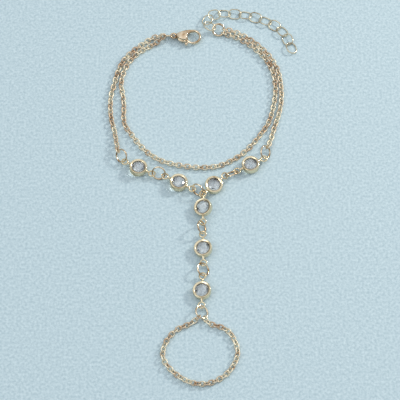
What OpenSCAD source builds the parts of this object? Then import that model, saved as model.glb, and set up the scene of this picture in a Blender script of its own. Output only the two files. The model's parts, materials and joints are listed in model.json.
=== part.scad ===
// Hand chain bracelet laid out flat and open, with the clasp end at the top left.
// X runs across the layout, Y away from the finger loop, and Z up from the surface it lies on.

/* [Fine chain] */
// Wire of a fine link
link_wire = 0.42; // [0.36:0.01:0.44]
// Length over all of a fine link
link_l = 2.7; // [2.65:0.05:2.85]
// Width over all of a fine link
link_w = 2.1; // [2:0.05:2.2]
// Lean of the fine links, one to each side in turn
link_lean = 45; // [40:1:50]

/* [Extender chain] */
// Wire of an extender link
ext_wire = 0.4; // [0.36:0.01:0.42]
// Length over all of an extender link
ext_l = 5; // [4.9:0.05:5.2]
// Width over all of an extender link
ext_w = 4.2; // [4:0.1:4.4]
// Lean of the extender links that lie flat, one to each side in turn
ext_lean = 20; // [18:1:22]

/* [Rings] */
// Outer diameter of a jump ring
ring_d = 5.1; // [5:0.1:5.4]
// Wire of a jump ring and of the clasp ring
ring_wire = 0.56; // [0.5:0.01:0.58]
// Outer diameter of the ring that joins the strands to the clasp
clasp_ring_d = 4.4; // [4.2:0.1:4.8]
// Outer diameter of the end ring that the clasp closes on
end_ring_d = 5; // [4.8:0.1:5.4]
// Wire of the end ring
end_ring_wire = 0.75; // [0.6:0.01:0.85]

/* [Bezels] */
// Outer diameter of a bezel
bezel_d = 6.1; // [5.8:0.1:6.6]
// Height of a bezel
bezel_h = 2.2; // [2:0.1:2.8]
// Wall of a bezel
bezel_wall = 0.5; // [0.4:0.02:0.6]
// Outer diameter of the eye at each end of a bezel
eye_d = 2.7; // [2.65:0.05:3]
// Wire of an eye
eye_wire = 0.46; // [0.4:0.02:0.48]
// Bare stem between a bezel and its eye
stem_l = 0.95; // [0.85:0.05:1.1]
// Diameter of that stem
stem_d = 0.6; // [0.5:0.05:0.8]

/* [Crystals] */
// Depth of the groove in the bezel that holds the edge of the crystal
groove = 0.14; // [0.1:0.01:0.2]
// Width of that groove
groove_w = 0.4; // [0.3:0.02:0.5]
// Width of the crystal's edge
girdle_w = 0.16; // [0.1:0.02:0.2]
// Width of the flat table, as a share of the crystal's
table_share = 0.64; // [0.55:0.01:0.7]
// Height of the table over the edge
crown_h = 0.95; // [0.8:0.05:1.2]
// Depth of the small lower table under the edge
pavilion_h = 0.85; // [0.7:0.05:1.1]

/* [Clasp] */
// Inner diameter of the clasp's hook
hook_bore = 4.3; // [4.2:0.05:4.8]
// Width of the hook's band
hook_wire = 0.8; // [0.75:0.05:0.95]
// Depth of the hook's band, square to its width
hook_t = 1.25; // [1.1:0.05:1.4]
// From the middle of the hook to the middle of the clasp's eye
clasp_reach = 7.2; // [7:0.1:7.8]
// Outer diameter of the clasp's eye
clasp_eye_d = 2.6; // [2.6:0.05:3]
// Wire of the clasp's eye
clasp_eye_wire = 0.65; // [0.5:0.01:0.7]
// Width of the clasp's rounded body where it is widest
bulb_d = 3.6; // [3.5:0.1:3.8]
// From the middle of the hook to that place
bulb_reach = 3.2; // [3:0.05:3.4]
// Thickness of that body
bulb_t = 2.7; // [2.5:0.1:3]
// Radius of the body's domed faces
dome_r = 7; // [6:0.5:10]
// Droop of the body towards the lever, in degrees
body_droop = 6; // [4:1:8]
// How far off the clasp's middle line its back meets the eye
back_lift = 0.4; // [0.3:0.05:0.5]
// Thickness of the web between the body and the back
web_t = 0.9; // [0.7:0.05:1.1]
// Width of the body at the eye
neck_d = 1.2; // [1:0.05:1.4]
// Thickness of the lever
lever_t = 0.85; // [0.75:0.05:0.9]
// Diameter of the rivet that the lever turns on
rivet_d = 0.6; // [0.5:0.05:0.7]
// How far the rivet lies off the clasp's middle line
rivet_drop = 0.75; // [0.65:0.05:0.85]
// Diameter of the lever's hub
hub_d = 1.4; // [1.3:0.05:1.5]
// From the rivet to the lever's tip
lever_reach = 4; // [3.8:0.05:4.2]
// From the rivet to the end of the lever's tail, which lies in the body
lever_tail = 2.3; // [2:0.1:2.5]
// How far the tail stands out of the body
tail_out = 0.3; // [0.2:0.05:0.4]
// Diameter of the thumb knob
knob_d = 1.2; // [1:0.05:1.3]
// Diameter of the knob's neck
knob_neck_d = 0.7; // [0.6:0.05:0.8]
// Bare neck between the lever and the knob
knob_neck_l = 0.35; // [0.25:0.05:0.5]

/* [Clearances] */
// Clear space between two linked fine wires
gap = 0.13; // [0.11:0.01:0.16]
// Clear space between two linked extender wires
ext_gap = 0.2; // [0.18:0.01:0.25]
// How far inside the eye's end a ring rests in an eye
eye_slack = 0.38; // [0.34:0.01:0.44]
// Clear space round a crystal, and beside and round the lever's hub
seat_gap = 0.06; // [0.05:0.01:0.08]
// Clear space round the rivet
rivet_gap = 0.04; // [0.02:0.01:0.06]

/* [Layout] */
// Shift of the whole layout across
shift_x = -1.3; // [-5:0.1:5]
// Shift of the whole layout lengthwise
shift_y = -4.4; // [-5:0.1:5]

/* [Hidden] */
$fn = 32;
tiny = 0.01;

// Routes, as points chosen by hand. The ends between rings are worked out below.
left_route = [
    [-17.2, 65.9], [-20.4, 63.7], [-23.4, 61.2], [-26.2, 58.4], [-28.4, 55.4], [-30.1, 51.0], [-31.3, 46.0],
    [-32.1, 41.0], [-32.2, 36.0], [-31.6, 31.0], [-30.4, 26.5]
];
inner_route = [
    [-16.4, 63.0], [-19.4, 61.0], [-22.8, 58.7], [-25.6, 55.4], [-27.5, 51.0], [-28.3, 46.5], [-28.0, 43.0],
    [-27.5, 39.5], [-27.3, 36.0], [-27.4, 32.5], [-26.8, 29.2], [-24.9, 26.2], [-22.8, 23.2],
    [-20.5, 20.2], [-17.5, 17.4], [-13.7, 15.0], [-9.5, 13.7], [-5.5, 12.9], [-1.5, 12.4],
    [2.5, 12.4], [6.4, 12.9], [10.0, 14.4], [13.2, 16.4], [16.1, 18.8], [18.4, 21.3],
    [20.4, 23.8], [22.2, 26.5], [23.7, 29.3], [25.0, 32.4], [25.9, 36.0], [26.6, 40.0],
    [27.0, 44.0], [26.9, 48.0], [26.2, 52.0], [24.6, 55.4], [22.3, 58.6], [19.3, 61.7],
    [15.8, 64.4], [12.8, 66.1]
];
right_route = [
    [25.4, 24.0], [26.6, 28.0], [28.0, 32.0], [29.1, 36.5], [29.6, 41.0], [29.5, 45.0],
    [28.8, 49.5], [27.6, 53.5], [25.9, 57.0], [23.5, 60.2], [20.4, 63.3], [16.8, 66.0],
    [13.4, 67.9]
];
finger_route = [
    [3.2, -46.9], [6.8, -48.0], [9.6, -49.5], [11.3, -52.2], [12.4, -55.0], [12.6, -58.0],
    [11.6, -61.0], [9.6, -64.2], [6.9, -66.4], [4.0, -67.9], [1.0, -68.4], [-2.1, -68.1],
    [-5.0, -67.0], [-8.0, -65.0], [-10.8, -62.2], [-12.3, -59.5], [-12.5, -57.0],
    [-11.8, -54.3], [-10.4, -51.7], [-8.2, -49.3], [-5.8, -47.9], [-3.2, -47.0]
];
extender_route = [
    [1.9, 71.6], [3.8, 74.8], [7.4, 76.0], [11.4, 76.1], [15.3, 75.7], [19.3, 74.9],
    [23.2, 73.4], [26.8, 71.5], [30.0, 69.0], [31.9, 65.8], [33.0, 62.6], [34.0, 59.6]
];
// How far the extender's first crossings lie above the flat links, and how its first links lean
extender_lift = [1.1, 0.9, 0.35];
extender_lean = [55, -50, 35];

// Centre of each ring that is placed by hand
middle_ring_at = [-0.7, 2.8];
end_ring_at = [6.8, 68.6];
hook_at = [-2.5, 65.7];

// How each ring lies: the heading of its low axis and its lean about that axis
RING_HEADING = 0;
RING_LEAN = 1;
ring_lie = [
    [129, -50],
    [168, -50],
    [-36, 68],
    [22, -50],
    [68, 50],
    [-88, -55],
    [-91, -35],
    [-90, -30]
];
end_ring_lie = [0, 36];
clasp_ring_lie = [0, -58];
clasp_heading = -4.5;

// How each bezel lies, in the order of the walk away from the middle ring: its heading,
// its rise at the near eye, and its lean about the line through its eyes
BEZEL_HEADING = 0;
BEZEL_RISE = 1;
BEZEL_LEAN = 2;
bezel_lie = [
    [154, 0, 7],
    [153, -1, 6],
    [43, 0, 8],
    [27, 0, -6],
    [-91, 7, 20],
    [-89, 1, 10],
    [-92, 1, 9]
];

// Where the strands' end links cross the rings, in degrees round the ring
left_ring_angle = -4;
right_ring_angle = 0;
finger_ring_angles = [32, -32];
end_ring_angles = [4, -34];
clasp_ring_angles = [160, 205];
extender_angle = 166;

link_r = (link_w - link_wire) / 2;
link_pitch = link_l - 2 * link_wire - gap;
link_rest = link_r * sin(link_lean) + link_wire / 2;
ext_r = (ext_w - ext_wire) / 2;
ext_pitch = ext_l - 2 * ext_wire - ext_gap;
ext_rest = ext_r * sin(ext_lean) + ext_wire / 2;
ring_r = (ring_d - ring_wire) / 2;
end_ring_r = (end_ring_d - end_ring_wire) / 2;
clasp_ring_r = (clasp_ring_d - ring_wire) / 2;
bezel_r = bezel_d / 2;
bezel_bore_r = bezel_r - bezel_wall;
stone_r = bezel_bore_r + groove - seat_gap;
eye_r = (eye_d - eye_wire) / 2;
eye_reach = bezel_r + stem_l + eye_d / 2;
eye_pull = eye_r - (eye_wire + ring_wire) / 2 - eye_slack;
hook_r = (hook_bore + hook_wire) / 2;
clasp_eye_r = (clasp_eye_d - clasp_eye_wire) / 2;
clasp_eye_pull = clasp_eye_r - (clasp_eye_wire + ring_wire) / 2 - eye_slack;

// Turning of a point as rotate() does it
function spin_x(v, a) = [v.x, v.y * cos(a) - v.z * sin(a), v.y * sin(a) + v.z * cos(a)];
function spin_y(v, a) = [v.x * cos(a) + v.z * sin(a), v.y, v.z * cos(a) - v.x * sin(a)];
function spin_z(v, a) = [v.x * cos(a) - v.y * sin(a), v.x * sin(a) + v.y * cos(a), v.z];
function turned(v, turn) = spin_z(spin_y(spin_x(v, turn.x), turn.y), turn.z);

// A place is a point and a turn
PLACE_AT = 0;
PLACE_TURN = 1;
function in_place(v, place) = place[PLACE_AT] + turned(v, place[PLACE_TURN]);

module put(place) {
    translate(place[PLACE_AT])
        rotate(place[PLACE_TURN])
            children();
}

// A ring that touches the surface it lies on
function ring_turn(lie) = [lie[RING_LEAN], 0, lie[RING_HEADING]];
function ring_height(r, wire, lie) = r * sin(abs(lie[RING_LEAN])) + wire / 2;
function ring_point(place, r, angle) = in_place([r * cos(angle), r * sin(angle), 0], place);
// The angle round a ring, near its low axis, at which its wire is at height z
function angle_at(r, wire, lie, z) = asin((z - ring_height(r, wire, lie)) / (r * sin(lie[RING_LEAN])));
// The place of a ring that has its wire at a point, on the near side of its heading
function ring_from(point, r, wire, lie) =
    let (angle = 180 - angle_at(r, wire, lie, point.z))
    let (arm = turned([r * cos(angle), r * sin(angle), 0], ring_turn(lie)))
    [point - arm, ring_turn(lie)];

// A bezel's turn, and the height of its middle when its lower edge rests on the surface
function bezel_turn(lie) = [lie[BEZEL_LEAN], lie[BEZEL_RISE], lie[BEZEL_HEADING]];
function bezel_height(lie) =
    let (upright = cos(lie[BEZEL_LEAN]) * cos(lie[BEZEL_RISE]))
    bezel_r * sqrt(1 - upright * upright) + bezel_h / 2 * upright;
// The point on a ring's wire where the near eye of a bezel is pulled tight
function near_arm(lie) = turned([-eye_reach - eye_pull, 0, 0], bezel_turn(lie));
function near_z(lie) = bezel_height(lie) + near_arm(lie).z;
// The place of a bezel whose near eye is on a ring
function bezel_from(place, r, wire, ring, lie) =
    let (point = ring_point(place, r, angle_at(r, wire, ring, near_z(lie))))
    let (middle = point - near_arm(lie))
    [[middle.x, middle.y, bezel_height(lie)], bezel_turn(lie)];
function far_point(place) = in_place([eye_reach + eye_pull, 0, 0], place);

// The walk from the middle ring out along the three rows
middle_ring = [
    [middle_ring_at.x, middle_ring_at.y, ring_height(ring_r, ring_wire, ring_lie[2])],
    ring_turn(ring_lie[2])
];
function middle_point(angle) = ring_point(middle_ring, ring_r, angle);
function middle_angle(lie) = angle_at(ring_r, ring_wire, ring_lie[2], near_z(lie));
function bezel_at_middle(angle, lie) =
    let (middle = middle_point(angle) - near_arm(lie))
    [[middle.x, middle.y, bezel_height(lie)], bezel_turn(lie)];

function next_ring(bezel, i) = ring_from(far_point(bezel), ring_r, ring_wire, ring_lie[i]);
function next_bezel(ring, i, lie) = bezel_from(ring, ring_r, ring_wire, ring_lie[i], lie);

bezel_2 = bezel_at_middle(180 - middle_angle(bezel_lie[1]), bezel_lie[1]);
ring_2 = next_ring(bezel_2, 1);
bezel_1 = next_bezel(ring_2, 1, bezel_lie[0]);
ring_1 = next_ring(bezel_1, 0);

bezel_3 = bezel_at_middle(middle_angle(bezel_lie[2]), bezel_lie[2]);
ring_4 = next_ring(bezel_3, 3);
bezel_4 = next_bezel(ring_4, 3, bezel_lie[3]);
ring_5 = next_ring(bezel_4, 4);

bezel_5 = bezel_at_middle(middle_angle(bezel_lie[4]), bezel_lie[4]);
ring_6 = next_ring(bezel_5, 5);
bezel_6 = next_bezel(ring_6, 5, bezel_lie[5]);
ring_7 = next_ring(bezel_6, 6);
bezel_7 = next_bezel(ring_7, 6, bezel_lie[6]);
ring_8 = next_ring(bezel_7, 7);

bezels = [bezel_1, bezel_2, bezel_3, bezel_4, bezel_5, bezel_6, bezel_7];
rings = [ring_1, ring_2, middle_ring, ring_4, ring_5, ring_6, ring_7, ring_8];

// The clasp lies on its side, with its own X from its eye to the tip of its hook
clasp_place = [[hook_at.x, hook_at.y, bulb_t / 2], [0, 0, clasp_heading]];
clasp_pull_at = in_place([-clasp_reach - clasp_eye_pull, 0, 0], clasp_place);
clasp_ring_angle = angle_at(clasp_ring_r, ring_wire, clasp_ring_lie, bulb_t / 2);
clasp_ring_place =
    let (arm = turned([clasp_ring_r * cos(clasp_ring_angle), clasp_ring_r * sin(clasp_ring_angle), 0],
                      ring_turn(clasp_ring_lie)))
    [clasp_pull_at - arm, ring_turn(clasp_ring_lie)];
end_ring_place = [
    [end_ring_at.x, end_ring_at.y, ring_height(end_ring_r, end_ring_wire, end_ring_lie)],
    ring_turn(end_ring_lie)
];

// The end of a strand on a ring: the crossing is half a gap inside the ring's wire
function strand_end(place, r, wire, angle, towards) =
    let (point = ring_point(place, r, angle))
    let (away = [towards.x, towards.y, point.z] - point)
    point - away / norm(away) * (wire + gap) / 2;
function on_surface(route, z) = [for (p = route) [p.x, p.y, z]];
function last(list) = list[len(list) - 1];

// A smooth curve through the points of a route
function bend(a, b, c, d, t) =
    ((2 * b) + (c - a) * t + (2 * a - 5 * b + 4 * c - d) * t * t + (3 * b - a - 3 * c + d) * t * t * t) / 2;
function curve(points, steps = 8) =
    let (n = len(points) - 1)
    concat(
        [for (i = [0 : n - 1])
            let (before = i > 0 ? points[i - 1] : 2 * points[0] - points[1])
            let (after = i < n - 1 ? points[i + 2] : 2 * points[n] - points[n - 1])
            for (s = [0 : steps - 1]) bend(before, points[i], points[i + 1], after, s / steps)],
        [points[n]]);
function run(points, i = 0, sum = 0) =
    i == len(points) - 1 ? [sum] : concat([sum], run(points, i + 1, sum + norm(points[i + 1] - points[i])));
// Crossings at an even pitch along a route, no wider apart than the links allow. A count is
// odd where the end links lean the same way, and even where they don't.
function crossings(points, pitch, rest, odd) =
    let (path = [for (p = curve(points)) [p.x, p.y, max(p.z, rest)]])
    let (along = run(path))
    let (n = 2 * ceil((last(along) / pitch - odd) / 2) + odd)
    let (px = [for (i = [0 : len(path) - 1]) [along[i], path[i].x]])
    let (py = [for (i = [0 : len(path) - 1]) [along[i], path[i].y]])
    let (pz = [for (i = [0 : len(path) - 1]) [along[i], path[i].z]])
    [for (k = [0 : n]) let (s = last(along) * k / n) [lookup(s, px), lookup(s, py), lookup(s, pz)]];
// A link's place between two crossings
function link_place(a, b, lean) =
    let (way = b - a)
    [(a + b) / 2, [lean, -asin(way.z / norm(way)), atan2(way.y, way.x)]];
function fine_places(points, first, final) =
    let (at = crossings(points, link_pitch, link_rest, first == final ? 1 : 0))
    [for (k = [0 : len(at) - 2]) link_place(at[k], at[k + 1], k % 2 == 0 ? first : -first)];
function extender_places(points) =
    let (at = crossings(points, ext_pitch, ext_rest, 0))
    [for (k = [0 : len(at) - 2])
        let (flat = k % 2 == 0 ? ext_lean : -ext_lean)
        link_place(at[k], at[k + 1], k < len(extender_lean) ? extender_lean[k] : flat)];

left_points = concat(
    [strand_end(clasp_ring_place, clasp_ring_r, ring_wire, clasp_ring_angles[0], left_route[0])],
    on_surface(left_route, link_rest),
    [strand_end(ring_1, ring_r, ring_wire, left_ring_angle, last(left_route))]);
inner_points = concat(
    [strand_end(clasp_ring_place, clasp_ring_r, ring_wire, clasp_ring_angles[1], inner_route[0])],
    on_surface(inner_route, link_rest),
    [strand_end(end_ring_place, end_ring_r, end_ring_wire, end_ring_angles[1], last(inner_route))]);
right_points = concat(
    [strand_end(ring_5, ring_r, ring_wire, right_ring_angle, right_route[0])],
    on_surface(right_route, link_rest),
    [strand_end(end_ring_place, end_ring_r, end_ring_wire, end_ring_angles[0], last(right_route))]);
finger_points = concat(
    [strand_end(ring_8, ring_r, ring_wire, finger_ring_angles[0], finger_route[0])],
    on_surface(finger_route, link_rest),
    [strand_end(ring_8, ring_r, ring_wire, finger_ring_angles[1], last(finger_route))]);
extender_points = concat(
    [strand_end(end_ring_place, end_ring_r, end_ring_wire, extender_angle, extender_route[0])],
    [for (i = [0 : len(extender_route) - 1])
        let (lift = i < len(extender_lift) ? extender_lift[i] : 0)
        [extender_route[i].x, extender_route[i].y, ext_rest + lift]]);

left_links = fine_places(left_points, -link_lean, -link_lean);
inner_links = fine_places(inner_points, -link_lean, link_lean);
right_links = fine_places(right_points, -link_lean, link_lean);
finger_links = fine_places(finger_points, link_lean, -link_lean);
extender_links = extender_places(extender_points);

// A round wire ring in its own XY plane
module wire_ring(outer_d, wire) {
    rotate_extrude()
        translate([(outer_d - wire) / 2, 0])
            circle(d = wire);
}

// A long link in its own XY plane, with its long way along X
module wire_link(l, w, wire) {
    r = (w - wire) / 2;
    straight = l - w;
    for (side = [-1, 1]) {
        translate([side * straight / 2, 0, 0])
            rotate([0, 0, side * 90 - 180])
                rotate_extrude(angle = 180)
                    translate([r, 0])
                        circle(d = wire);
        translate([-straight / 2, side * r, 0])
            rotate([0, 90, 0])
                cylinder(d = wire, h = straight);
    }
}

module fine_chain(places) {
    for (place = places)
        put(place)
            wire_link(link_l, link_w, link_wire);
}

module wrist_chain() {
    color("goldenrod")
        fine_chain(inner_links);
}

module side_chain_left() {
    color("goldenrod")
        fine_chain(left_links);
}

module side_chain_right() {
    color("goldenrod")
        fine_chain(right_links);
}

module finger_chain() {
    color("goldenrod")
        fine_chain(finger_links);
}

module extender_link(i) {
    color("palegoldenrod")
        put(extender_links[i - 1])
            wire_link(ext_l, ext_w, ext_wire);
}

module jump_ring(i) {
    color("gold")
        put(rings[i - 1])
            wire_ring(ring_d, ring_wire);
}

module end_ring() {
    color("gold")
        put(end_ring_place)
            wire_ring(end_ring_d, end_ring_wire);
}

module clasp_ring() {
    color("gold")
        put(clasp_ring_place)
            wire_ring(clasp_ring_d, ring_wire);
}

// Half of the bezel's round-edged wall, cut by the groove for the crystal's edge
module bezel_profile() {
    edge_r = bezel_wall / 2;
    difference() {
        translate([bezel_r - edge_r, 0]) {
            square([bezel_wall, bezel_h - bezel_wall], center = true);
            for (side = [-1, 1])
                translate([0, side * (bezel_h - bezel_wall) / 2])
                    circle(d = bezel_wall);
        }
        polygon([
            [bezel_bore_r - tiny, groove_w / 2 + tiny],
            [bezel_bore_r - tiny, -groove_w / 2 - tiny],
            [bezel_bore_r + groove, -girdle_w / 2 - seat_gap],
            [bezel_bore_r + groove, girdle_w / 2 + seat_gap]
        ]);
    }
}

module bezel(i) {
    color("khaki")
        put(bezels[i - 1]) {
            rotate_extrude()
                bezel_profile();
            for (side = [0, 180])
                rotate([0, 0, side]) {
                    translate([eye_reach, 0, 0])
                        wire_ring(eye_d, eye_wire);
                    translate([bezel_r - bezel_wall / 2, 0, 0])
                        rotate([0, 90, 0])
                            cylinder(d = stem_d, h = stem_l + (bezel_wall + eye_wire) / 2);
                }
        }
}

// One side of a crystal: a table of eight sides, then star, kite and edge facets
function ring_of(n, r, z, start) = [for (k = [0 : n - 1]) [r * cos(start + k * 360 / n), r * sin(start + k * 360 / n), z]];
facet_r = (stone_r + stone_r * table_share) / 2;
function facet_z(edge_z, table_z, table_r) =
    table_z + (edge_z - table_z) * (facet_r * cos(22.5) - table_r) / (stone_r - table_r);

module crystal_cut() {
    table_r = stone_r * table_share;
    edge = girdle_w / 2;
    points = concat(
        ring_of(8, table_r, edge + crown_h, 0),
        ring_of(8, facet_r, facet_z(edge, edge + crown_h, table_r), 22.5),
        ring_of(16, stone_r, edge, 0),
        ring_of(16, stone_r, -edge, 0),
        ring_of(8, facet_r, -facet_z(edge, edge + pavilion_h, table_r), 22.5),
        ring_of(8, table_r, -edge - pavilion_h, 0));
    table = 0;
    kite = 8;
    top_edge = 16;
    low_edge = 32;
    low_kite = 48;
    low_table = 56;
    faces = concat(
        [[for (k = [7 : -1 : 0]) table + k]],
        [for (k = [0 : 7]) [table + k, table + (k + 1) % 8, kite + k]],
        [for (k = [0 : 7]) [table + k, kite + k, top_edge + 2 * k, kite + (k + 7) % 8]],
        [for (k = [0 : 7]) [kite + k, top_edge + 2 * k + 1, top_edge + 2 * k]],
        [for (k = [0 : 7]) [kite + k, top_edge + (2 * k + 2) % 16, top_edge + 2 * k + 1]],
        [for (k = [0 : 15]) [top_edge + k, top_edge + (k + 1) % 16, low_edge + (k + 1) % 16, low_edge + k]],
        [for (k = [0 : 7]) [low_kite + k, low_edge + 2 * k, low_edge + 2 * k + 1]],
        [for (k = [0 : 7]) [low_kite + k, low_edge + 2 * k + 1, low_edge + (2 * k + 2) % 16]],
        [for (k = [0 : 7]) [low_table + k, low_kite + (k + 7) % 8, low_edge + 2 * k, low_kite + k]],
        [for (k = [0 : 7]) [low_table + k, low_kite + k, low_table + (k + 1) % 8]],
        [[for (k = [0 : 7]) low_table + k]]);
    polyhedron(points, faces);
}

module crystal(i) {
    color("lightsteelblue")
        put(bezels[i - 1])
            crystal_cut();
}

// Clasp, with its own origin in the middle of the hook
rivet_at = [-bulb_reach, -rivet_drop];
slot_t = lever_t + 2 * seat_gap;
body_start = clasp_reach - (clasp_eye_d - clasp_eye_wire) / 2;
back_fall = hook_r - back_lift;
back_r = (body_start * body_start + back_fall * back_fall) / (2 * back_fall);
hook_tip_angle = -105;
hook_root_angle = 185;
lever_root_angle = 198;
lever_tip_angle = 290;
knob_angle = 234;

module hook_arc(from, to, wire) {
    rotate([0, 0, from])
        rotate_extrude(angle = to - from)
            translate([hook_r, 0])
                circle(d = wire);
}

// The hook's band: deeper than wide, with round edges
module band_profile() {
    square([hook_wire, hook_t - hook_wire], center = true);
    for (side = [-1, 1])
        translate([0, side * (hook_t - hook_wire) / 2])
            circle(d = hook_wire);
}

module hook_band() {
    rotate([0, 0, hook_tip_angle])
        rotate_extrude(angle = hook_root_angle - hook_tip_angle)
            translate([hook_r, 0])
                band_profile();
}

// The band runs on from the top of the hook, in a flatter bow, to the eye
module clasp_back() {
    bow = asin(body_start / back_r);
    translate([0, hook_r - back_r, 0]) {
        rotate([0, 0, 90])
            rotate_extrude(angle = bow, $fn = 180)
                translate([back_r, 0])
                    band_profile();
        rotate([0, 0, 90 + bow])
            translate([back_r, 0, 0])
                sphere(d = hook_wire);
    }
}

module clasp_web() {
    linear_extrude(height = web_t, center = true)
        difference() {
            intersection() {
                translate([0, hook_r - back_r])
                    circle(r = back_r, $fn = 180);
                translate([-body_start, 0])
                    square([body_start, hook_r]);
            }
            circle(d = hook_bore, $fn = 96);
        }
}

// Half of the body's outline: a bulging flank from the eye to the widest place, then a round end
module body_profile() {
    flank_l = body_start - bulb_reach;
    rise = (bulb_d - neck_d) / 2;
    flank_r = (flank_l * flank_l + rise * rise) / (2 * rise);
    intersection() {
        translate([bulb_d / 2 - flank_r, flank_l])
            circle(r = flank_r, $fn = 96);
        square([bulb_d, flank_l]);
    }
    intersection() {
        translate([0, flank_l])
            circle(d = bulb_d, $fn = 64);
        translate([0, flank_l - tiny])
            square([bulb_d, bulb_d]);
    }
}

module clasp_shell() {
    difference() {
        translate([-body_start, 0, 0])
            rotate([0, 90, -body_droop])
                rotate_extrude($fn = 64)
                    body_profile();
        cylinder(d = hook_bore, h = bulb_d, center = true, $fn = 96);
    }
}

// The space that the lever's tip swings through
module tip_sweep() {
    intersection() {
        translate([rivet_at.x, rivet_at.y, 0])
            cylinder(r = lever_reach + seat_gap, h = hook_t * 2, center = true, $fn = 96);
        translate([-hook_r / 2, -hook_r - hook_wire, -hook_t])
            cube([2 * hook_r, hook_r, 2 * hook_t]);
    }
}

module clasp_body() {
    color("gold")
        put(clasp_place) {
            difference() {
                union() {
                    intersection() {
                        clasp_shell();
                        intersection_for (side = [-1, 1])
                            translate([rivet_at.x, 0, side * (dome_r - bulb_t / 2)])
                                sphere(r = dome_r, $fn = 96);
                    }
                    hook_band();
                    clasp_back();
                    clasp_web();
                }
                translate([rivet_at.x, rivet_at.y, 0])
                    cylinder(d = hub_d + 2 * seat_gap, h = slot_t, center = true);
                translate([rivet_at.x, rivet_at.y - bulb_d, -slot_t / 2])
                    cube([bulb_d / 2, bulb_d + hub_d / 2 + seat_gap, slot_t]);
                translate([rivet_at.x - lever_tail - seat_gap, rivet_at.y - bulb_d, -slot_t / 2])
                    cube([lever_tail + hub_d, bulb_d + seat_gap, slot_t]);
                tip_sweep();
            }
            translate([rivet_at.x, rivet_at.y, 0])
                cylinder(d = rivet_d, h = slot_t + 2 * tiny, center = true);
            translate([-clasp_reach, 0, 0])
                wire_ring(clasp_eye_d, clasp_eye_wire);
        }
}

// The flat part of the lever, whose lower edge follows the body's flank
module lever_outline() {
    intersection() {
        translate([-body_start, -tail_out])
            rotate(-90 - body_droop)
                body_profile();
        translate([rivet_at.x - lever_tail, rivet_at.y - bulb_d])
            square([lever_tail + hub_d / 2, bulb_d]);
    }
}

module clasp_lever() {
    color("gold")
        put(clasp_place) {
            difference() {
                union() {
                    translate([rivet_at.x, rivet_at.y, 0])
                        cylinder(d = hub_d, h = lever_t, center = true);
                    linear_extrude(height = lever_t, center = true)
                        lever_outline();
                    intersection() {
                        hook_arc(lever_root_angle, lever_tip_angle, lever_t);
                        translate([rivet_at.x, rivet_at.y, 0])
                            cylinder(r = lever_reach, h = lever_t * 2, center = true, $fn = 96);
                    }
                }
                translate([rivet_at.x, rivet_at.y, 0])
                    cylinder(d = rivet_d + 2 * rivet_gap, h = lever_t * 2, center = true);
            }
            rotate([0, 0, knob_angle]) {
                translate([hook_r, 0, 0])
                    rotate([0, 90, 0])
                        cylinder(d = knob_neck_d, h = lever_t / 2 + knob_neck_l + knob_d / 2);
                translate([hook_r + lever_t / 2 + knob_neck_l + knob_d / 2, 0, 0])
                    sphere(d = knob_d);
            }
        }
}

module placed_layout() {
    translate([shift_x, shift_y, 0])
        children();
}

placed_layout()
        clasp_body();
placed_layout()
        clasp_lever();
placed_layout()
        clasp_ring();
placed_layout()
        end_ring();
placed_layout()
        wrist_chain();
placed_layout()
        side_chain_left();
placed_layout()
        side_chain_right();
placed_layout()
        finger_chain();
for (i = [1 : len(rings)])
    placed_layout()
            jump_ring(i);
for (i = [1 : len(bezels)]) {
    placed_layout()
            bezel(i);
    placed_layout()
            crystal(i);
}
for (i = [1 : len(extender_links)])
    placed_layout()
            extender_link(i);
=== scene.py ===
import json
import math

import bmesh
import bpy
import numpy as np
from mathutils import Matrix, Vector

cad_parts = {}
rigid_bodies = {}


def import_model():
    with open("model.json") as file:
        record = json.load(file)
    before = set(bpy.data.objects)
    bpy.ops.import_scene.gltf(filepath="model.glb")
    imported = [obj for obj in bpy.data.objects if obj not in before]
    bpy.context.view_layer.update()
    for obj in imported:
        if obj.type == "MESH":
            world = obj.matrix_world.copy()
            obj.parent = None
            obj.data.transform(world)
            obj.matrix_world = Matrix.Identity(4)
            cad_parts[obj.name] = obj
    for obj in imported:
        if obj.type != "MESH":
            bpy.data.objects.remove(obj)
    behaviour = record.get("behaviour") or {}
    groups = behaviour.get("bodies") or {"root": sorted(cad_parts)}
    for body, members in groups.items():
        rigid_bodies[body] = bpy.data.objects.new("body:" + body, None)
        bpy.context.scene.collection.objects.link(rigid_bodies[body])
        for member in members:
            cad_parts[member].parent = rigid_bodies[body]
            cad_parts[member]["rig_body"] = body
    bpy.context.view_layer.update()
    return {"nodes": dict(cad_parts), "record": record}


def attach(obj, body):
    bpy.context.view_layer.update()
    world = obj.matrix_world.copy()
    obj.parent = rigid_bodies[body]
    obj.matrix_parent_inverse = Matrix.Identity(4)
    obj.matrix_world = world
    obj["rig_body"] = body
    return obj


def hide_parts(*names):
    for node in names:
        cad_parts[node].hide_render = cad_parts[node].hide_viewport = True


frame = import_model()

scene = bpy.context.scene
nodes = frame["nodes"]
mm = 0.001
weld = 1e-5  # mm, where a new mesh is welded


def newObject(name, data):
    obj = bpy.data.objects.new(name, data)
    scene.collection.objects.link(obj)
    return obj


def addRamp(tree, value, stops, colours):
    # a colour between two, from where the value lies between two stops
    ramp = tree.nodes.new("ShaderNodeValToRGB")
    for end in (0, 1):
        ramp.color_ramp.elements[end].position = stops[end]
        ramp.color_ramp.elements[end].color = (*colours[end], 1)
    tree.links.new(value, ramp.inputs["Fac"])
    return ramp.outputs["Color"]


print("camera")
cameraValues = {
    "aim": (-0.0013, -0.0044, 0.0),  # middle of the layout, on the floor
    "elevation": 64.0,
    "distance": 0.6,
    "sensor": 36.0,
    "lens": 154.29,
    "clip": (0.01, 50),
}


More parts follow.
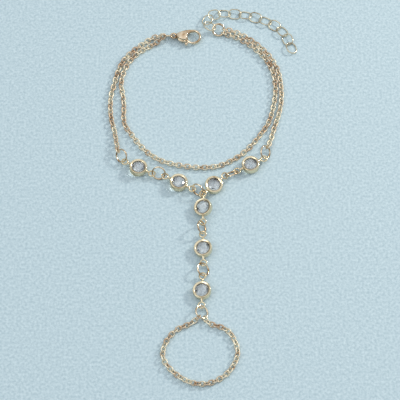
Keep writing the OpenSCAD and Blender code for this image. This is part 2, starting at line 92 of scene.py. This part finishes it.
def addCamera(v):
    tilt = math.radians(v["elevation"])
    back = Vector((0, -math.cos(tilt), math.sin(tilt)))
    data = bpy.data.cameras.new("camera")
    data.sensor_width = v["sensor"]
    data.lens = v["lens"]
    data.clip_start, data.clip_end = v["clip"]
    obj = newObject("camera", data)
    obj.location = Vector(v["aim"]) + back * v["distance"]
    obj.rotation_euler = (-back).to_track_quat("-Z", "Y").to_euler()
    scene.camera = obj


addCamera(cameraValues)

print("light")
lightValues = {
    "key": {
        "azimuth": 30, "elevation": 30, "distance": 0.9,
        "size": 0.14, "power": 3.9, "colour": (1.0, 0.97, 0.92),
    },
    "fill": {
        "azimuth": 200, "elevation": 55, "distance": 1.0,
        "size": 0.6, "power": 1.65, "colour": (0.93, 0.96, 1.0),
    },
}
worldValues = {
    "low": (0.05, 0.05, 0.052), "high": (1.2, 1.23, 1.29), "stops": (0.0, 0.9),
    "strength": 0.815,
    "toward": (0.1, 0.15, 0.85),  # brighter above the piece and a little behind it
}


def addLight(name, v):
    data = bpy.data.lights.new(name, "AREA")
    data.shape = "DISK"
    data.size = v["size"]
    data.energy = v["power"]
    data.color = v["colour"]
    obj = newObject(name, data)
    a, e = math.radians(v["azimuth"]), math.radians(v["elevation"])
    away = Vector((math.cos(a) * math.cos(e), math.sin(a) * math.cos(e), math.sin(e)))
    obj.location = away * v["distance"]
    obj.rotation_euler = (-away).to_track_quat("-Z", "Y").to_euler()


def addWorld(v):
    world = bpy.data.worlds.new("studio")
    scene.world = world
    world.use_nodes = True
    tree = world.node_tree
    back = tree.nodes["Background"]
    back.inputs["Strength"].default_value = v["strength"]
    place = tree.nodes.new("ShaderNodeTexCoord")
    toward = tree.nodes.new("ShaderNodeVectorMath")
    toward.operation = "DOT_PRODUCT"
    toward.inputs[1].default_value = v["toward"]
    tree.links.new(place.outputs["Generated"], toward.inputs[0])
    colour = addRamp(tree, toward.outputs["Value"], v["stops"], (v["low"], v["high"]))
    tree.links.new(colour, back.inputs["Color"])


for lightName in lightValues:
    addLight(lightName, lightValues[lightName])
addWorld(worldValues)
scene.view_settings.view_transform = "Standard"
scene.view_settings.look = "None"

print("materials")
noiseDetail = {"Drift": 3, "Grain": 5}
noiseSpan = (0.3, 0.7)  # most of a noise's values lie between these


def makeGrainGroup():
    # slow drift of tone, fine polish marks and their height
    group = bpy.data.node_groups.new("polishGrain", "ShaderNodeTree")
    for name in noiseDetail:
        group.interface.new_socket(name + " Scale", in_out="INPUT", socket_type="NodeSocketFloat")
        group.interface.new_socket(name, in_out="OUTPUT", socket_type="NodeSocketFloat")
    inside = group.nodes.new("NodeGroupInput")
    out = group.nodes.new("NodeGroupOutput")
    place = group.nodes.new("ShaderNodeTexCoord")
    for name, detail in noiseDetail.items():
        noise = group.nodes.new("ShaderNodeTexNoise")
        noise.inputs["Detail"].default_value = detail
        group.links.new(place.outputs["Object"], noise.inputs["Vector"])
        group.links.new(inside.outputs[name + " Scale"], noise.inputs["Scale"])
        group.links.new(noise.outputs["Fac"], out.inputs[name])
    return group


grainGroup = makeGrainGroup()


def newMaterial(name):
    material = bpy.data.materials.new(name)
    material.use_nodes = True
    tree = material.node_tree
    return material, tree, tree.nodes["Principled BSDF"]


def addGrain(tree, scales):
    grain = tree.nodes.new("ShaderNodeGroup")
    grain.node_tree = grainGroup
    for name in scales:
        grain.inputs[name + " Scale"].default_value = scales[name]
    return grain.outputs


def addBump(tree, height, shader, strength, depth):
    bump = tree.nodes.new("ShaderNodeBump")
    bump.inputs["Strength"].default_value = strength
    bump.inputs["Distance"].default_value = depth
    tree.links.new(height, bump.inputs["Height"])
    tree.links.new(bump.outputs["Normal"], shader.inputs["Normal"])


def mapRange(tree, value, low, high):
    node = tree.nodes.new("ShaderNodeMapRange")
    node.inputs["From Min"].default_value, node.inputs["From Max"].default_value = noiseSpan
    node.inputs["To Min"].default_value = low
    node.inputs["To Max"].default_value = high
    tree.links.new(value, node.inputs["Value"])
    return node.outputs["Result"]


polishValues = {"scales": {"Drift": 380, "Grain": 4200}, "depth": 0.0001}
metalValues = {
    "warm_gold": {
        "light": (0.95, 0.79, 0.57), "dark": (0.44, 0.27, 0.13), "tones": (0.34, 0.56),
        "rough": (0.05, 0.11), "bump": 0.02,
    },
    "chain_gold": {
        "light": (0.88, 0.81, 0.64), "dark": (0.62, 0.44, 0.29), "tones": (0.34, 0.56),
        "rough": (0.46, 0.60), "bump": 0.03,
    },
    "bezel_gold": {
        "light": (0.86, 0.75, 0.52), "dark": (0.56, 0.44, 0.26), "tones": (0.28, 0.52),
        "rough": (0.12, 0.24), "bump": 0.02,
    },
    "pale_gold": {
        "light": (0.79, 0.72, 0.54), "dark": (0.42, 0.33, 0.20), "tones": (0.28, 0.52),
        "rough": (0.20, 0.34), "bump": 0.02,
    },
}


def makeMetal(name, v, polish):
    material, tree, shader = newMaterial(name)
    shader.inputs["Metallic"].default_value = 1.0
    grain = addGrain(tree, polish["scales"])
    colour = addRamp(tree, grain["Drift"], v["tones"], (v["dark"], v["light"]))
    tree.links.new(colour, shader.inputs["Base Color"])
    tree.links.new(mapRange(tree, grain["Grain"], *v["rough"]), shader.inputs["Roughness"])
    addBump(tree, grain["Grain"], shader, v["bump"], polish["depth"])
    return material


crystalValues = {
    "scales": {"Drift": 420},
    "cloud": (0.80, 0.81, 0.83), "tint": (0.97, 0.97, 0.97), "stops": (0.4, 0.58),
    # painted reflection: the near-black colour mixed into the marked edge facets in place of a
    # mirrored dark wall
    "paintedReflection": (0.06, 0.06, 0.07),
    "ior": 1.56, "clearness": 0.9,
    "glint": (-0.9, 1.5), "glintIor": 2.3,
    "through": (1.08, 1.08, 1.08),
}


def makeCrystal(v):
    material, tree, shader = newMaterial("crystal")
    shader.inputs["Transmission Weight"].default_value = v["clearness"]
    shader.inputs["IOR"].default_value = v["ior"]
    shader.inputs["Roughness"].default_value = 0.0
    shader.inputs["Coat IOR"].default_value = v["glintIor"]
    drift = addGrain(tree, v["scales"])["Drift"]
    colour = addRamp(tree, drift, v["stops"], (v["cloud"], v["tint"]))
    tree.links.new(mapRange(tree, drift, *v["glint"]), shader.inputs["Coat Weight"])
    # painted reflection: some edge facets are painted near black, standing in for the bezel's
    # shaded far wall mirrored in them
    paintedReflection = tree.nodes.new("ShaderNodeAttribute")
    paintedReflection.attribute_name = "paintedReflection"
    reflectionShade = tree.nodes.new("ShaderNodeMix")
    reflectionShade.data_type = "RGBA"
    colours = [one for one in reflectionShade.inputs if one.type == "RGBA"]
    colours[1].default_value = (*v["paintedReflection"], 1)
    tree.links.new(paintedReflection.outputs["Fac"], reflectionShade.inputs["Factor"])
    tree.links.new(colour, colours[0])
    mixed = [one for one in reflectionShade.outputs if one.type == "RGBA"][0]
    tree.links.new(mixed, shader.inputs["Base Color"])
    # the lamps shine through to the floor, gathered a little by the cut
    path = tree.nodes.new("ShaderNodeLightPath")
    clear = tree.nodes.new("ShaderNodeBsdfTransparent")
    clear.inputs["Color"].default_value = (*v["through"], 1)
    mix = tree.nodes.new("ShaderNodeMixShader")
    tree.links.new(path.outputs["Is Shadow Ray"], mix.inputs["Fac"])
    tree.links.new(shader.outputs["BSDF"], mix.inputs[1])
    tree.links.new(clear.outputs["BSDF"], mix.inputs[2])
    tree.links.new(mix.outputs["Shader"], tree.nodes["Material Output"].inputs["Surface"])
    return material


finishes = {name: makeMetal(name, metalValues[name], polishValues) for name in metalValues}
finishes["crystal"] = makeCrystal(crystalValues)

print("floor")
floorValues = {
    "size": 6.0,
    "light": (0.625, 0.76, 0.80), "dark": (0.442, 0.574, 0.624), "tones": (0.3, 0.7),
    "scales": {"Drift": 1150, "Grain": 2600},
    "rough": 0.9, "specular": 0.2, "bump": 0.3, "depth": 0.0003,
}


def addFloor(v):
    mesh = bpy.data.meshes.new("floor")
    bm = bmesh.new()
    bmesh.ops.create_grid(bm, x_segments=1, y_segments=1, size=v["size"] / 2)
    bm.to_mesh(mesh)
    bm.free()
    obj = newObject("floor", mesh)
    material, tree, shader = newMaterial("paleCloth")
    shader.inputs["Roughness"].default_value = v["rough"]
    shader.inputs["Specular IOR Level"].default_value = v["specular"]
    grain = addGrain(tree, v["scales"])
    colour = addRamp(tree, grain["Drift"], v["tones"], (v["dark"], v["light"]))
    tree.links.new(colour, shader.inputs["Base Color"])
    addBump(tree, grain["Grain"], shader, v["bump"], v["depth"])
    mesh.materials.append(material)


addFloor(floorValues)

print("places of the packed solids")
slotOf = {p["node"]: p["material_slot"] for p in frame["record"]["subparts"]}
packedDigits = 8  # corners that agree to this many decimals of a metre are one
packedWeld = 1e-7  # metres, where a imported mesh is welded
headingTilt = 0.3  # how far Y counts, beside X, in which way along is forward


def solidsOf(node):
    # the node's triangles, sorted into its separate solids
    mesh = nodes[node].data
    spots = np.empty(len(mesh.vertices) * 3)
    mesh.vertices.foreach_get("co", spots)
    points, same = np.unique(
        np.round(spots.reshape(-1, 3), packedDigits), axis=0, return_inverse=True,
    )
    corners = np.empty(len(mesh.loops), dtype=np.int64)
    mesh.loops.foreach_get("vertex_index", corners)
    faces = same.ravel()[corners].reshape(-1, 3)
    label = np.arange(len(points))
    while True:
        before = label.copy()
        low = label[faces].min(axis=1)
        for side in range(3):
            np.minimum.at(label, faces[:, side], low)
        label = label[label]
        if (label == before).all():
            break
    return [points[label == one] for one in np.unique(label)]


def placeOf(points, along=None):
    # middle of a ring or link, with X along it, and Z square to it and up
    middle = points.mean(axis=0)
    axes = np.linalg.eigh(np.cov((points - middle).T))[1]
    up = Vector(axes[:, 0])
    up = up if up.z > 0 else -up
    run = Vector(axes[:, 2]) if along is None else Vector(along)
    run = (run - up * run.dot(up)).normalized()
    if run.x + headingTilt * run.y < 0:
        run = -run
    side = up.cross(run)
    turn = Matrix((run, side, up)).transposed().to_4x4()
    return Matrix.Translation(Vector(middle)) @ turn


def finishPiece(name, bm, slotName, body, replaced, smooth):
    # one finished piece in metres, standing for its node
    mesh = bpy.data.meshes.new(name)
    bmesh.ops.recalc_face_normals(bm, faces=bm.faces)
    for face in bm.faces:
        face.smooth = True
    bm.to_mesh(mesh)
    bm.free()
    if smooth:  # edges past this many degrees stay sharp
        mesh.set_sharp_from_angle(angle=math.radians(smooth))
    mesh.materials.append(finishes[slotName])
    obj = newObject(name, mesh)
    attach(obj, body)
    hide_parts(replaced)


def wireLoop(length, width, wire, steps, sides, cut=0.0):
    # a round wire bent to a ring or a long link in its own XY plane, in mm, with a cut on +X
    bm = bmesh.new()
    reach = (width - wire) / 2
    full = 1 / math.cos(math.pi / sides) ** 0.5  # as thick as the round wire
    start = cut / reach / 2
    upright = Matrix.Translation((reach, 0, 0)) @ Matrix.Rotation(math.pi / 2, 4, "X")
    stand = Matrix.Rotation(start, 4, "Z") @ upright
    bmesh.ops.create_circle(
        bm, cap_ends=cut > 0, segments=sides, radius=wire / 2 * full, matrix=stand,
    )
    bmesh.ops.spin(
        bm, geom=bm.verts[:] + bm.edges[:] + bm.faces[:], axis=(0, 0, 1),
        angle=2 * math.pi - 2 * start, steps=steps, use_merge=cut == 0,
    )
    bmesh.ops.remove_doubles(bm, verts=bm.verts, dist=weld)
    for vert in bm.verts:
        if abs(vert.co.x) > 10 * weld:
            vert.co.x += math.copysign((length - width) / 2, vert.co.x)
    return bm


def placedCopies(template, places):
    # copies of a small mesh in mm, each set at its place in metres
    bm = bmesh.new()
    mesh = bpy.data.meshes.new("template")
    template.to_mesh(mesh)
    template.free()
    count = len(mesh.vertices)
    for place in places:
        bm.from_mesh(mesh)
        bm.verts.ensure_lookup_table()
        bmesh.ops.transform(bm, matrix=place @ Matrix.Scale(mm, 4), verts=bm.verts[-count:])
    bpy.data.meshes.remove(mesh)
    return bm


print("fine chains")
fineChain = {
    "link": {"length": 2.62, "width": 2.1, "wire": 0.47, "steps": 14, "sides": 6},
    "packedLength": 2.7,
    "hookIn": 0.04,  # the end links reach a little further into their rings
    "pitch": 1.55,  # the links are no further apart than this
    "lean": 39.0,  # to one side and the other in turn, in degrees
    "roll": 9.0,  # slow twist along the chain, in degrees
    "rollEvery": 21.0,  # mm from one twist to the next
    "rollShare": 0.6,  # how much of the twist counts in the chain's usual height
    "loose": 5.0,  # how unevenly the links lie, in degrees
    "rest": 0.53,  # the lowest height of a wire's middle, as a share of its thickness
    "look": 0.9,  # mm before and after a link that give its heading
    "settle": 6.0,  # how far from its rings the chain comes down, in mm
    "beside": 3.9,  # mm; strands nearer than this draw together
    "touch": 1.9,  # mm; and come no nearer than this
    "sample": 0.2,  # mm between the spots where the distance is measured
    "seed": 5,
}


def chainOrder(middles):
    # from one end link to the other, by nearest neighbours
    gaps = np.linalg.norm(middles[:, None] - middles[None], axis=2)
    order = [int(np.sort(gaps, axis=1)[:, 2].argmax())]
    left = set(range(len(middles))) - set(order)
    while left:
        order.append(min(left, key=lambda k: gaps[order[-1], k]))
        left.remove(order[-1])
    return order


def leanOf(place, run):
    # how far a link leans over, seen along the chain
    side = Vector((0, 0, 1)).cross(run).normalized()
    up = place.col[2].to_3d()
    return math.atan2(up.dot(side), up.dot(run.cross(side)))


def linkPlace(at, run, lean):
    run = run.normalized()
    side = Vector((0, 0, 1)).cross(run).normalized()
    turn = Matrix((run, side, run.cross(side))).transposed().to_4x4()
    return Matrix.Translation(at * mm) @ turn @ Matrix.Rotation(-lean, 4, "X")


def chainPath(node, v):
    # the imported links' middles from end to end, and the end links' places
    solids = solidsOf(node)
    middles = np.array([points.mean(axis=0) for points in solids]) / mm
    order = chainOrder(middles)
    path = middles[order]
    ends = [placeOf(solids[order[0]]), placeOf(solids[order[-1]])]
    further = (v["packedLength"] - v["link"]["length"]) / 2 + v["hookIn"]
    for end, inner in ((0, 1), (-1, -2)):
        out = path[end] - path[inner]
        path[end] += out / np.linalg.norm(out) * further
        ends[end].translation = Vector(path[end]) * mm
    return path, ends


def lengthAlong(path):
    return np.concatenate(([0], np.cumsum(np.linalg.norm(np.diff(path, axis=0), axis=1))))


def drawnTogether(path, others, v):
    # strands that run side by side lie close, away from their rings
    spots = []
    for other in others:
        run = lengthAlong(other)
        stops = np.arange(0, run[-1], v["sample"])
        spots.append(np.column_stack([np.interp(stops, run, other[:, axis]) for axis in (0, 1)]))
    spots = np.concatenate(spots)
    run = lengthAlong(path)
    out = path.copy()
    for k in range(len(path)):
        gaps = np.linalg.norm(spots - path[k, :2], axis=1)
        gap = gaps.min()
        if gap > v["beside"]:
            continue
        room = v["beside"] - v["touch"]
        close = v["touch"] + room * max(0, (gap - v["touch"]) / room) ** 2
        settle = v["settle"] if gap > v["touch"] else v["pitch"]
        free = min(1, run[k] / settle, (run[-1] - run[k]) / settle)
        out[k, :2] += (spots[gaps.argmin()] - path[k, :2]) / gap * (gap - close) / 2 * free
    return out


def addFineChain(node, path, ends, v, seed):
    # links of the true pitch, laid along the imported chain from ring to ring
    link = v["link"]
    low = np.median(path[:, 2])
    run = lengthAlong(path)
    total = run[-1]
    first = leanOf(ends[0], Vector(path[1] - path[0]))
    last = leanOf(ends[1], Vector(path[-1] - path[-2]))
    # an even or an odd count, so that the leans fit both end links
    steps = math.ceil(total / v["pitch"])
    steps += (first * last > 0) == (steps % 2 == 1)

    def pathAt(s):
        return Vector([np.interp(s, run, path[:, axis]) for axis in range(3)])

    def restHeight(lean):
        reach = (link["width"] - link["wire"]) / 2
        return reach * math.sin(math.radians(lean)) + link["wire"] * v["rest"]

    even = restHeight(v["lean"] + v["roll"] * v["rollShare"])
    uneven = np.random.RandomState(seed)
    places = [ends[0]]
    for k in range(1, steps):
        s = total * k / steps
        at, before, after = pathAt(s), pathAt(s - v["look"]), pathAt(s + v["look"])
        settled = min(1, s / v["settle"], (total - s) / v["settle"])
        roll = v["roll"] * math.sin(s / v["rollEvery"] * 2 * math.pi + seed)
        roll += v["loose"] * uneven.uniform(-1, 1)
        lean = math.copysign(v["lean"], first) * (-1) ** k + roll * settled
        at.z = max(at.z - (low - even) * settled, restHeight(abs(lean)))
        places.append(linkPlace(at, after - before, math.radians(lean)))
    places.append(ends[1])
    bm = placedCopies(wireLoop(**link), places)
    finishPiece(node + "_links", bm, slotOf[node], nodes[node]["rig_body"], node, smooth=80)
    print(node, len(places), "links,", round(total / steps, 3), "mm apart")


chainPaths = {node: chainPath(node, fineChain) for node in (
    "wrist_chain", "side_chain_left", "side_chain_right", "finger_chain",
)}
for number, nodeName in enumerate(chainPaths):
    others = [chainPaths[other][0] for other in chainPaths if other != nodeName]
    drawn = drawnTogether(chainPaths[nodeName][0], others, fineChain)
    addFineChain(nodeName, drawn, chainPaths[nodeName][1], fineChain, number + fineChain["seed"])

print("rings and extender")
ringValues = {
    "jump_ring": {
        "length": 5.1, "width": 5.1, "wire": 0.58, "steps": 56, "sides": 14, "cut": 0.07,
    },
    "clasp_ring": {
        "length": 4.4, "width": 4.4, "wire": 0.56, "steps": 52, "sides": 14, "cut": 0.07,
    },
    "end_ring": {
        "length": 5.0, "width": 5.0, "wire": 0.75, "steps": 56, "sides": 16,
    },
    "extender_link": {
        "length": 5.0, "width": 4.0, "wire": 0.42, "steps": 48, "sides": 12, "cut": 0.06,
    },
}
extenderRest = {
    "share": 0.8,  # of its packed lean, for all but the first links
    "packedReach": 1.9,
    "packedWire": 0.4,
    "first": {  # lean in degrees, and lift in mm
        "extender_link_1": (16, 0.05),
        "extender_link_2": (16, -0.2),
        "extender_link_3": (17, -0.1),
    },
}


def eased(node, place, v, rest):
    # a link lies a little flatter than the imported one, and rests where that did
    lean = leanOf(place, place.col[0].to_3d())
    if node in rest["first"]:
        angle, lift = rest["first"][node]
        new = math.copysign(math.radians(angle), lean)
    else:
        new = lean * rest["share"]
        reach = (v["width"] - v["wire"]) / 2
        old = rest["packedReach"] * math.sin(abs(lean)) + rest["packedWire"] / 2
        lift = reach * math.sin(abs(new)) + v["wire"] / 2 - old
    out = place @ Matrix.Rotation(lean - new, 4, "X")
    out.translation.z += lift * mm
    return out


def addRing(node, v):
    points = solidsOf(node)[0]
    if v["length"] > v["width"]:
        place = eased(node, placeOf(points), v, extenderRest)
    else:
        place = placeOf(points, (1, 0, 0))
    bm = placedCopies(wireLoop(**v), [place])
    finishPiece(node + "_wire", bm, slotOf[node], nodes[node]["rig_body"], node, smooth=50)


for node in sorted(nodes):
    kind = node.rstrip("0123456789").rstrip("_")
    if kind in ringValues:
        addRing(node, ringValues[kind])

print("bezels")
bezelValues = {
    "count": 7,
    "radius": 3.13, "height": 2.2, "bore": 2.55, "lip": 2.31, "steps": 72,
    "groove": 0.14, "grooveHalf": 0.12, "seat": 0.24,
    # points of the wall, in mm out from the radius and up from the height that are named
    "overStone": ((-0.02, 0.24), (-0.04, 0.38)),  # bore, middle
    "lipEdge": ((0, 0.80), (0.02, 0.87), (0.12, 0.93)),  # lip, middle
    "rim": ((-0.45, -0.08), (-0.32, -0.02), (-0.2, 0), (-0.08, -0.05), (0, -0.24)),  # radius, top
    "foot": ((0, 0.28), (-0.06, 0.10), (-0.2, 0.01)),  # radius, bottom
    "footBore": ((0.16, 0), (0.02, 0.06), (0, 0.22)),  # bore, bottom
    "eye": 2.74, "eyeWire": 0.53, "reach": 5.35, "eyeSteps": 40, "eyeSides": 14,
    # the stem's thickness at shares of its length
    "stem": ((0, 1.45), (0.28, 1.218), (0.45, 0.9), (0.62, 0.9), (0.85, 0.846), (1, 0.54)),
    "stemSides": 20,
    "stemRoot": 0.2,  # how deep the stem starts in the wall
}


def shifted(points, out, up):
    return [(out + x, up + z) for x, z in points]


def bezelWall(v):
    # an open round cup, with its rim rolled in a little over the crystal's edge
    bm = bmesh.new()
    half, out, bore = v["height"] / 2, v["radius"], v["bore"]
    deep = bore + v["groove"]
    line = shifted(v["overStone"], bore, 0) + shifted(v["lipEdge"], v["lip"], 0)
    line += shifted(v["rim"], out, half) + [(out, 0)] + shifted(v["foot"], out, -half)
    line += shifted(v["footBore"], bore, -half)
    line += [(bore, -v["seat"]), (deep, -v["grooveHalf"]), (deep, v["grooveHalf"])]
    verts = [bm.verts.new((x, 0, z)) for x, z in line]
    for k in range(len(verts)):
        bm.edges.new((verts[k], verts[(k + 1) % len(verts)]))
    bmesh.ops.spin(
        bm, geom=bm.verts[:] + bm.edges[:], axis=(0, 0, 1),
        angle=2 * math.pi, steps=v["steps"], use_merge=True,
    )
    bmesh.ops.remove_doubles(bm, verts=bm.verts, dist=weld)
    return bm


def bezelStem(v):
    # a short stem on +X that widens into the wall and into its eye
    bm = bmesh.new()
    near = v["radius"] - v["stemRoot"]
    far = v["reach"] - v["eye"] / 2 + v["eyeWire"] / 2
    rings = []
    for share, width in v["stem"]:
        at = Matrix.Translation((near + (far - near) * share, 0, 0))
        ring = bmesh.ops.create_circle(
            bm, cap_ends=share in (0, 1), segments=v["stemSides"], radius=width / 2,
            matrix=at @ Matrix.Rotation(math.pi / 2, 4, "Y"),
        )
        rings.append([edge for edge in bm.edges if set(edge.verts) <= set(ring["verts"])])
    for a, b in zip(rings, rings[1:]):
        bmesh.ops.bridge_loops(bm, edges=a + b)
    return bm


def bezelEye(v):
    bm = wireLoop(v["eye"], v["eye"], v["eyeWire"], v["eyeSteps"], v["eyeSides"])
    bmesh.ops.translate(bm, verts=bm.verts, vec=(v["reach"], 0, 0))
    return bm


def evaluatedMesh(obj):
    depsgraph = bpy.context.evaluated_depsgraph_get()
    return bpy.data.meshes.new_from_object(obj.evaluated_get(depsgraph))


def dropObject(obj):
    mesh = obj.data
    bpy.data.objects.remove(obj)
    bpy.data.meshes.remove(mesh)


def joined(shells):
    # closed shells soldered to one solid
    made = []
    for bm in shells:
        bmesh.ops.recalc_face_normals(bm, faces=bm.faces)
        mesh = bpy.data.meshes.new("shell")
        bm.to_mesh(mesh)
        bm.free()
        made.append(newObject("shell", mesh))
    for other in made[1:]:
        union = made[0].modifiers.new("union", "BOOLEAN")
        union.operation = "UNION"
        union.solver = "EXACT"
        union.object = other
    shape = evaluatedMesh(made[0])
    out = bmesh.new()
    out.from_mesh(shape)
    bpy.data.meshes.remove(shape)
    for obj in made:
        dropObject(obj)
    return out


def placeOfBezel(number):
    # the crystal gives the way up, and the eyes give the heading
    cup = placeOf(solidsOf("bezel_%d" % number)[0])
    stone = placeOf(solidsOf("crystal_%d" % number)[0], cup.col[0].to_3d())
    stone.translation = cup.translation
    return stone


bezelPlaces = {k: placeOfBezel(k) for k in range(1, bezelValues["count"] + 1)}


def addBezels(v):
    shells = [bezelWall(v)]
    for side in (0, math.pi):
        turn = Matrix.Rotation(side, 3, "Z")
        for bm in (bezelStem(v), bezelEye(v)):
            bmesh.ops.rotate(bm, verts=bm.verts, cent=(0, 0, 0), matrix=turn)
            shells.append(bm)
    whole = joined(shells)
    for number, place in bezelPlaces.items():
        node = "bezel_%d" % number
        bm = placedCopies(whole.copy(), [place])
        finishPiece(node + "_cup", bm, slotOf[node], nodes[node]["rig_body"], node, smooth=45)
    whole.free()


addBezels(bezelValues)

print("crystals")
crystalShape = {
    "sides": 8, "radius": 2.63, "tableShare": 0.64,
    "crown": 0.92, "pavilion": 0.85, "girdle": 0.16,
    "edge": 0.022,
    "reflectionShade": (0.95, 0, 0, 0, 0, 0, 0.95, 0, 0, 0, 0, 0.7),  # how dark the painted reflection makes each edge facet, by heading
    "reflectionShadeFrom": 0.6,  # only past this share of the table's radius
    "turns": (8, -12, 15, 0, -95, -80, -100),  # each crystal's turn in its cup, in degrees
}


def cutCrystal(v):
    # an eight-sided table, star, kite and edge facets, and a flatter set below
    bm = bmesh.new()
    sides = v["sides"]
    table = v["radius"] * v["tableShare"]
    kite = (v["radius"] + table) / 2
    share = (kite * math.cos(math.pi / sides) - table) / (v["radius"] - table)
    half = v["girdle"] / 2
    levels = [
        (sides, table, half + v["crown"], 0.0),
        (sides, kite, half + v["crown"] * (1 - share), math.pi / sides),
        (2 * sides, v["radius"], half, 0.0),
        (2 * sides, v["radius"], -half, 0.0),
        (sides, kite, -half - v["pavilion"] * (1 - share), math.pi / sides),
        (sides, table, -half - v["pavilion"], 0.0),
    ]
    for count, radius, height, turn in levels:
        at = Matrix.Translation((0, 0, height)) @ Matrix.Rotation(turn, 4, "Z")
        bmesh.ops.create_circle(bm, segments=count, radius=radius, matrix=at)
    bmesh.ops.delete(bm, geom=bm.edges[:], context="EDGES_FACES")
    bmesh.ops.convex_hull(bm, input=bm.verts)
    bmesh.ops.dissolve_limit(bm, angle_limit=math.radians(1), verts=bm.verts, edges=bm.edges)
    bmesh.ops.bevel(
        bm, geom=bm.edges[:], offset=v["edge"], segments=1, profile=0.5,
        affect="EDGES", material=-1,
    )
    # painted reflection: edge facets away from the table are marked with how dark their painted
    # mirrored shade is, by heading
    layer = bm.faces.layers.float.new("paintedReflection")
    for face in bm.faces:
        middle = face.calc_center_median()
        if middle.xy.length > table * v["reflectionShadeFrom"]:
            turn = math.atan2(middle.y, middle.x) / (2 * math.pi) % 1
            face[layer] = v["reflectionShade"][int(turn * len(v["reflectionShade"]))]
    return bm


def addCrystals(v):
    stone = cutCrystal(v)
    for number, place in bezelPlaces.items():
        node = "crystal_%d" % number
        turn = Matrix.Rotation(math.radians(v["turns"][number - 1]), 4, "Z")
        bm = placedCopies(stone.copy(), [place @ turn])
        finishPiece(node + "_stone", bm, slotOf[node], nodes[node]["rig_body"], node, smooth=1)
    stone.free()


addCrystals(crystalShape)

print("clasp")
castValues = {
    "clasp_body": {"voxel": 0.05, "passes": 6, "ease": 0.5},
    "clasp_lever": {"voxel": 0.04, "passes": 4, "ease": 0.5},
}


def addCast(node, v):
    # a cast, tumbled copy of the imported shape, with its edges worn round
    mesh = bpy.data.meshes.new("rough")
    bm = bmesh.new()
    bm.from_mesh(nodes[node].data)
    bmesh.ops.remove_doubles(bm, verts=bm.verts, dist=packedWeld)
    bmesh.ops.scale(bm, vec=(1 / mm, 1 / mm, 1 / mm), verts=bm.verts)
    bm.to_mesh(mesh)
    bm.clear()
    rough = newObject("rough", mesh)
    remesh = rough.modifiers.new("cast", "REMESH")
    remesh.mode = "VOXEL"
    remesh.voxel_size = v["voxel"]
    shape = evaluatedMesh(rough)
    bm.from_mesh(shape)
    for _ in range(v["passes"]):
        bmesh.ops.smooth_vert(
            bm, verts=bm.verts, factor=v["ease"],
            use_axis_x=True, use_axis_y=True, use_axis_z=True,
        )
    bmesh.ops.scale(bm, vec=(mm, mm, mm), verts=bm.verts)
    finishPiece(node + "_cast", bm, slotOf[node], nodes[node]["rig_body"], node, smooth=0)
    dropObject(rough)
    bpy.data.meshes.remove(shape)


for nodeName in castValues:
    addCast(nodeName, castValues[nodeName])
